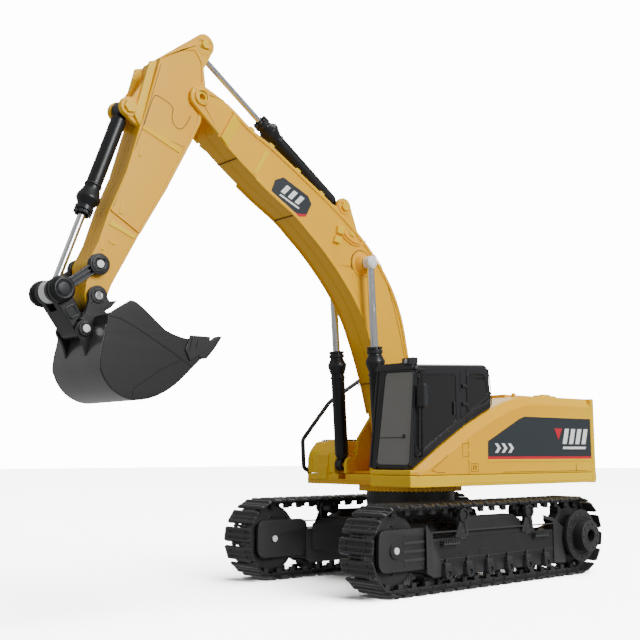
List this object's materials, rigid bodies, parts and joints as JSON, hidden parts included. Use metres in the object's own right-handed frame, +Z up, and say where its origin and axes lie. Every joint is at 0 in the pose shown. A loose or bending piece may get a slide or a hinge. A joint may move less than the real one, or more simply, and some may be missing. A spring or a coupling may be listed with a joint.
{
  "type": "toy excavator",
  "caption": "Tracked toy excavator: a slewing house with a cab on a crawler undercarriage, and a jointed boom, arm and bucket moved by linked cylinders.",
  "frame": {"origin": "on the ground under the middle of the whole object, bucket included", "axes": "+X towards the cab's side (the machine's left), -Y forwards towards the bucket, +Z up"},
  "size_m": [0.2012, 0.5336, 0.4282],
  "materials": {
    "carrier_frame": "satin black",
    "battery_cover": "satin black",
    "battery_pack": "blue sleeve",
    "ring_gear": "white nylon",
    "track_frame_left": "satin black",
    "track_frame_right": "satin black",
    "track_belt_left": "dark grey",
    "track_belt_right": "dark grey",
    "idler_axle_left": "bright steel",
    "idler_axle_right": "bright steel",
    "drive_motor_left": "bright steel",
    "drive_motor_right": "bright steel",
    "deck": "satin-gloss yellow",
    "side_cover_left": "satin-gloss yellow",
    "side_cover_right": "satin-gloss yellow",
    "engine_cover": "satin-gloss yellow",
    "counterweight": "satin-gloss yellow",
    "tool_box": "satin-gloss yellow",
    "cab_shell": "satin black",
    "windshield": "glossy dark grey",
    "mirror": "satin black",
    "handrail": "satin black",
    "boom_bracket": "satin-gloss yellow",
    "slew_motor": "bright steel",
    "circuit_board": "green board",
    "boom_foot_pin": "bright steel",
    "slew_pinion": "machined",
    "boom_shell_left": "satin-gloss yellow",
    "boom_shell_right": "satin-gloss yellow",
    "boom_eye_pin": "bright steel",
    "arm_pin": "satin-gloss yellow",
    "arm_cylinder_pin": "satin-gloss yellow",
    "boom_cylinder_left": "satin black",
    "boom_cylinder_right": "satin black",
    "boom_rod_left": "polished",
    "boom_rod_right": "polished",
    "arm_cylinder": "satin black",
    "arm_shell_left": "satin-gloss yellow",
    "arm_shell_right": "satin-gloss yellow",
    "arm_rod": "polished",
    "bucket_cylinder": "satin black",
    "side_link_left": "satin black",
    "side_link_right": "satin black",
    "link_pin": "bright steel",
    "bucket_rod": "polished",
    "bucket": "satin black",
    "bucket_pin": "bright steel",
    "bucket_link": "satin black",
    "sprocket_left": "dark grey",
    "idler_left": "dark grey",
    "carrier_roller_front_left": "dark grey",
    "carrier_roller_rear_left": "dark grey",
    "bottom_roller_front_left": "dark grey",
    "bottom_roller_rear_left": "dark grey",
    "sprocket_right": "dark grey",
    "idler_right": "dark grey",
    "carrier_roller_front_right": "dark grey",
    "carrier_roller_rear_right": "dark grey",
    "bottom_roller_front_right": "dark grey",
    "bottom_roller_rear_right": "dark grey"
  },
  "bodies": {
    "undercarriage": {"carrier_frame": "carrier_frame", "battery_cover": "battery_cover", "battery_pack": "battery_pack", "ring_gear": "ring_gear", "track_frame_left": "track_frame_left", "track_frame_right": "track_frame_right", "track_belt_left": "track_belt_left", "track_belt_right": "track_belt_right", "idler_axle_left": "idler_axle_left", "idler_axle_right": "idler_axle_right", "drive_motor_left": "drive_motor_left", "drive_motor_right": "drive_motor_right"},
    "house": {"deck": "deck", "side_cover_left": "side_cover_left", "side_cover_right": "side_cover_right", "engine_cover": "engine_cover", "counterweight": "counterweight", "tool_box": "tool_box", "cab_shell": "cab_shell", "windshield": "windshield", "mirror": "mirror", "handrail": "handrail", "boom_bracket": "boom_bracket", "slew_motor": "slew_motor", "circuit_board": "circuit_board", "boom_foot_pin": "boom_foot_pin"},
    "pinion": {"slew_pinion": "slew_pinion"},
    "boom": {"boom_shell_left": "boom_shell_left", "boom_shell_right": "boom_shell_right", "boom_eye_pin": "boom_eye_pin", "arm_pin": "arm_pin", "arm_cylinder_pin": "arm_cylinder_pin"},
    "boom_barrels": {"boom_cylinder_left": "boom_cylinder_left", "boom_cylinder_right": "boom_cylinder_right"},
    "boom_rods": {"boom_rod_left": "boom_rod_left", "boom_rod_right": "boom_rod_right"},
    "arm_barrel": {"arm_cylinder": "arm_cylinder"},
    "arm": {"arm_shell_left": "arm_shell_left", "arm_shell_right": "arm_shell_right"},
    "arm_rod_body": {"arm_rod": "arm_rod"},
    "bucket_barrel": {"bucket_cylinder": "bucket_cylinder"},
    "side_links": {"side_link_left": "side_link_left", "side_link_right": "side_link_right", "link_pin": "link_pin"},
    "bucket_rod_body": {"bucket_rod": "bucket_rod"},
    "bucket_body": {"bucket": "bucket", "bucket_pin": "bucket_pin"},
    "bucket_link_body": {"bucket_link": "bucket_link"},
    "drive_wheel_left": {"sprocket_left": "sprocket_left"},
    "front_wheel_left": {"idler_left": "idler_left"},
    "carrier_wheel_front_left": {"carrier_roller_front_left": "carrier_roller_front_left"},
    "carrier_wheel_rear_left": {"carrier_roller_rear_left": "carrier_roller_rear_left"},
    "bottom_wheel_front_left": {"bottom_roller_front_left": "bottom_roller_front_left"},
    "bottom_wheel_rear_left": {"bottom_roller_rear_left": "bottom_roller_rear_left"},
    "drive_wheel_right": {"sprocket_right": "sprocket_right"},
    "front_wheel_right": {"idler_right": "idler_right"},
    "carrier_wheel_front_right": {"carrier_roller_front_right": "carrier_roller_front_right"},
    "carrier_wheel_rear_right": {"carrier_roller_rear_right": "carrier_roller_rear_right"},
    "bottom_wheel_front_right": {"bottom_roller_front_right": "bottom_roller_front_right"},
    "bottom_wheel_rear_right": {"bottom_roller_rear_right": "bottom_roller_rear_right"}
  },
  "joints": [
    {"name": "slew", "type": "hinge", "parent": "undercarriage", "child": "house", "pos_m": [0, 0.08675, 0.08], "axis": [0, 0, 1], "continuous": true},
    {"name": "pinion_spin", "type": "hinge", "parent": "house", "child": "pinion", "pos_m": [0, 0.10775, 0.08], "axis": [0, 0, 1], "continuous": true},
    {"name": "boom_lift", "type": "hinge", "parent": "house", "child": "boom", "pos_m": [-0.0056, 0.06975, 0.112], "axis": [1, 0, 0], "range_deg": [-5, 35]},
    {"name": "boom_barrel_swing", "type": "hinge", "parent": "house", "child": "boom_barrels", "pos_m": [-0.0056, 0.03245, 0.0966], "axis": [1, 0, 0], "range_deg": [-6, 36]},
    {"name": "boom_rod_swing", "type": "hinge", "parent": "boom", "child": "boom_rods", "pos_m": [-0.0056, 0.02105, 0.2681], "axis": [1, 0, 0], "range_deg": [-2, 2]},
    {"name": "arm_swing", "type": "hinge", "parent": "boom", "child": "arm", "pos_m": [-0.0056, -0.14815, 0.3755], "axis": [1, 0, 0], "range_deg": [-40, 5]},
    {"name": "arm_barrel_swing", "type": "hinge", "parent": "boom", "child": "arm_barrel", "pos_m": [-0.0056, 0.00505, 0.3172], "axis": [1, 0, 0], "range_deg": [-4, 2]},
    {"name": "arm_rod_swing", "type": "hinge", "parent": "arm", "child": "arm_rod_body", "pos_m": [-0.0056, -0.14435, 0.4195], "axis": [1, 0, 0], "range_deg": [-6, 39]},
    {"name": "bucket_curl", "type": "hinge", "parent": "arm", "child": "bucket_body", "pos_m": [-0.0056, -0.23075, 0.2134], "axis": [1, 0, 0], "range_deg": [-50, 20]},
    {"name": "side_link_swing", "type": "hinge", "parent": "arm", "child": "side_links", "pos_m": [-0.0056, -0.23075, 0.2353], "axis": [1, 0, 0], "range_deg": [-36, 15]},
    {"name": "bucket_link_swing", "type": "hinge", "parent": "bucket_body", "child": "bucket_link_body", "pos_m": [-0.0056, -0.23975, 0.1899], "axis": [1, 0, 0], "range_deg": [-14, 33]},
    {"name": "bucket_barrel_swing", "type": "hinge", "parent": "arm", "child": "bucket_barrel", "pos_m": [-0.0056, -0.20695, 0.3556], "axis": [1, 0, 0], "range_deg": [-7, 4]},
    {"name": "bucket_rod_swing", "type": "hinge", "parent": "side_links", "child": "bucket_rod_body", "pos_m": [-0.0056, -0.25735, 0.2153], "axis": [1, 0, 0], "range_deg": [-13, 30]},
    {"name": "drive_wheel_left_spin", "type": "hinge", "parent": "undercarriage", "child": "drive_wheel_left", "pos_m": [0.0726, 0.21225, 0.034], "axis": [1, 0, 0], "continuous": true},
    {"name": "front_wheel_left_spin", "type": "hinge", "parent": "undercarriage", "child": "front_wheel_left", "pos_m": [0.0726, -0.01675, 0.034], "axis": [1, 0, 0], "continuous": true},
    {"name": "carrier_wheel_front_left_spin", "type": "hinge", "parent": "undercarriage", "child": "carrier_wheel_front_left", "pos_m": [0.0726, 0.05775, 0.0577], "axis": [1, 0, 0], "continuous": true},
    {"name": "carrier_wheel_rear_left_spin", "type": "hinge", "parent": "undercarriage", "child": "carrier_wheel_rear_left", "pos_m": [0.0726, 0.14275, 0.0577], "axis": [1, 0, 0], "continuous": true},
    {"name": "bottom_wheel_front_left_spin", "type": "hinge", "parent": "undercarriage", "child": "bottom_wheel_front_left", "pos_m": [0.0726, 0.02775, 0.0137], "axis": [1, 0, 0], "continuous": true},
    {"name": "bottom_wheel_rear_left_spin", "type": "hinge", "parent": "undercarriage", "child": "bottom_wheel_rear_left", "pos_m": [0.0726, 0.15375, 0.0137], "axis": [1, 0, 0], "continuous": true},
    {"name": "drive_wheel_right_spin", "type": "hinge", "parent": "undercarriage", "child": "drive_wheel_right", "pos_m": [-0.0726, 0.21225, 0.034], "axis": [1, 0, 0], "continuous": true},
    {"name": "front_wheel_right_spin", "type": "hinge", "parent": "undercarriage", "child": "front_wheel_right", "pos_m": [-0.0726, -0.01675, 0.034], "axis": [1, 0, 0], "continuous": true},
    {"name": "carrier_wheel_front_right_spin", "type": "hinge", "parent": "undercarriage", "child": "carrier_wheel_front_right", "pos_m": [-0.0726, 0.05775, 0.0577], "axis": [1, 0, 0], "continuous": true},
    {"name": "carrier_wheel_rear_right_spin", "type": "hinge", "parent": "undercarriage", "child": "carrier_wheel_rear_right", "pos_m": [-0.0726, 0.14275, 0.0577], "axis": [1, 0, 0], "continuous": true},
    {"name": "bottom_wheel_front_right_spin", "type": "hinge", "parent": "undercarriage", "child": "bottom_wheel_front_right", "pos_m": [-0.0726, 0.02775, 0.0137], "axis": [1, 0, 0], "continuous": true},
    {"name": "bottom_wheel_rear_right_spin", "type": "hinge", "parent": "undercarriage", "child": "bottom_wheel_rear_right", "pos_m": [-0.0726, 0.15375, 0.0137], "axis": [1, 0, 0], "continuous": true}
  ],
  "couplings": [
    {"joint": "pinion_spin", "follows": "slew", "ratio": -4},
    {"joint": "boom_barrel_swing", "follows": "boom_lift", "ratio": 0.981},
    {"joint": "boom_rod_swing", "follows": "boom_lift", "ratio": -0.019},
    {"joint": "arm_barrel_swing", "follows": "arm_swing", "ratio": 0.0615},
    {"joint": "arm_rod_swing", "follows": "arm_swing", "ratio": -0.9385},
    {"joint": "side_link_swing", "follows": "bucket_curl", "ratio": 0.6821},
    {"joint": "bucket_link_swing", "follows": "bucket_curl", "ratio": -0.6261},
    {"joint": "bucket_barrel_swing", "follows": "bucket_curl", "ratio": 0.1145},
    {"joint": "bucket_rod_swing", "follows": "bucket_curl", "ratio": -0.5676},
    {"joint": "front_wheel_left_spin", "follows": "drive_wheel_left_spin", "ratio": 1},
    {"joint": "carrier_wheel_front_left_spin", "follows": "drive_wheel_left_spin", "ratio": 5.2857},
    {"joint": "carrier_wheel_rear_left_spin", "follows": "drive_wheel_left_spin", "ratio": 5.2857},
    {"joint": "bottom_wheel_front_left_spin", "follows": "drive_wheel_left_spin", "ratio": 3.2889},
    {"joint": "bottom_wheel_rear_left_spin", "follows": "drive_wheel_left_spin", "ratio": 3.2889},
    {"joint": "front_wheel_right_spin", "follows": "drive_wheel_right_spin", "ratio": 1},
    {"joint": "carrier_wheel_front_right_spin", "follows": "drive_wheel_right_spin", "ratio": 5.2857},
    {"joint": "carrier_wheel_rear_right_spin", "follows": "drive_wheel_right_spin", "ratio": 5.2857},
    {"joint": "bottom_wheel_front_right_spin", "follows": "drive_wheel_right_spin", "ratio": 3.2889},
    {"joint": "bottom_wheel_rear_right_spin", "follows": "drive_wheel_right_spin", "ratio": 3.2889}
  ]
}
